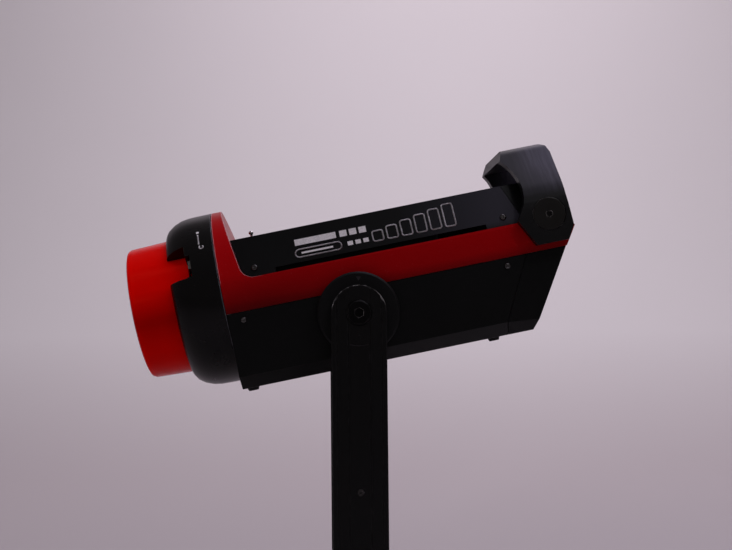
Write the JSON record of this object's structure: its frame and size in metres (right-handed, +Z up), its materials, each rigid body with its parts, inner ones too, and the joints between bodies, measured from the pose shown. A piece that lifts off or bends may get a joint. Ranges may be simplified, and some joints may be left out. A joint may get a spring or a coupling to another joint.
{
  "type": "monolight studio light head",
  "caption": "Point-source studio light head with a translucent red cap on its bayonet ring, tilting in a U-shaped yoke with a stand socket, with a carrying handle and a fan-cooled light engine.",
  "frame": {"origin": "centre of the stand socket's mouth, at the bottom of the stand receiver", "axes": "+Z up along the stand socket, -X towards the lens and cap, -Y towards the lamp's left side, +Y along the tilt axis to the locking lever"},
  "size_m": [0.3698, 0.2087, 0.4249],
  "materials": {
    "black_paint": "satin",
    "red_paint": "satin",
    "red_cap": "gloss",
    "black_anodised": "satin",
    "black_plastic": "matte",
    "bare_aluminium": "satin",
    "steel": "satin",
    "black_steel": "satin",
    "copper": "satin",
    "phosphor": "matte",
    "circuit_board": "satin",
    "clear_glass": "gloss",
    "rubber": "matte"
  },
  "bodies": {
    "yoke": {"arm_screw_left_front": "black_steel", "arm_screw_left_rear": "black_steel", "arm_screw_right_front": "black_steel", "arm_screw_right_rear": "black_steel", "arm_setscrew_left": "black_steel", "arm_setscrew_right": "black_steel", "pivot_screw_left": "black_steel", "receiver_bolt": "black_steel", "stand_receiver": "black_anodised", "yoke_arm_left": "black_anodised", "yoke_arm_right": "black_anodised", "yoke_base": "black_anodised"},
    "head": {"bayonet_plate": "steel", "cable_socket": "black_anodised", "catch_spring": "steel", "cold_plate": "copper", "cover_screw_left_front": "black_steel", "cover_screw_left_rear": "black_steel", "cover_screw_right_front": "black_steel", "cover_screw_right_rear": "black_steel", "driver_board": "circuit_board", "fan_frame": "black_plastic", "fin_stack": "black_anodised", "foot_left_front": "rubber", "foot_left_rear": "rubber", "foot_right_front": "rubber", "foot_right_rear": "rubber", "front_glass": "clear_glass", "front_plate": "bare_aluminium", "handle": "black_paint", "handle_bolt_left": "black_steel", "handle_bolt_right": "black_steel", "heat_pipe_left": "copper", "heat_pipe_right": "copper", "led_board": "bare_aluminium", "led_emitter": "phosphor", "lower_tray": "black_paint", "mount_ring": "black_anodised", "panel_screw_left_front": "black_steel", "panel_screw_left_rear": "black_steel", "panel_screw_right_front": "black_steel", "panel_screw_right_rear": "black_steel", "rear_cover": "black_plastic", "rear_grille": "black_plastic", "red_housing": "red_paint", "reflector_cone": "bare_aluminium", "roof_stud": "steel", "tilt_hub_left": "black_anodised", "tilt_hub_right": "black_anodised", "top_cover": "black_paint"},
    "tilt_lock": {"tilt_lock_lever": "black_plastic", "tilt_lock_shaft": "steel"},
    "stand_lock": {"stand_lock_knob": "black_plastic", "stand_lock_screw": "steel"},
    "cap": {"protective_cap": "red_cap"},
    "catch": {"release_catch": "steel"},
    "pin": {"lock_pin": "steel"},
    "fan": {"fan_rotor": "black_plastic"}
  },
  "joints": [
    {"name": "head_tilt", "type": "hinge", "parent": "yoke", "child": "head", "pos_m": [0, 0, 0.285], "axis": [0, 1, 0], "range_deg": [-79, 101]},
    {"name": "tilt_lock_turn", "type": "hinge", "parent": "yoke", "child": "tilt_lock", "pos_m": [0, 0.1, 0.285], "axis": [0, 1, 0], "range_deg": [0, 75]},
    {"name": "stand_lock_turn", "type": "hinge", "parent": "yoke", "child": "stand_lock", "pos_m": [0.05, 0, 0.021], "axis": [1, 0, 0], "range_deg": [0, 270]},
    {"name": "cap_twist", "type": "hinge", "parent": "head", "child": "cap", "pos_m": [-0.00696, 0, 0.32063], "axis": [-0.9815, 0, -0.1917], "range_deg": [0, 55]},
    {"name": "catch_slide", "type": "hinge", "parent": "head", "child": "catch", "pos_m": [-0.00696, 0, 0.32063], "axis": [-0.9815, 0, -0.1917], "range_deg": [-6, 0], "stiffness_Nm_per_rad": 0.3, "springref_deg": 8.59},
    {"name": "pin_slide", "type": "slide", "parent": "head", "child": "pin", "axis": [0.9815, 0, 0.1917], "range_m": [0, 0.003]},
    {"name": "fan_spin", "type": "hinge", "parent": "head", "child": "fan", "pos_m": [0.09322, 0, 0.32155], "axis": [-0.9815, 0, -0.1917], "continuous": true}
  ],
  "couplings": [
    {"joint": "pin_slide", "follows": "catch_slide", "m_per_rad": -0.0286}
  ]
}
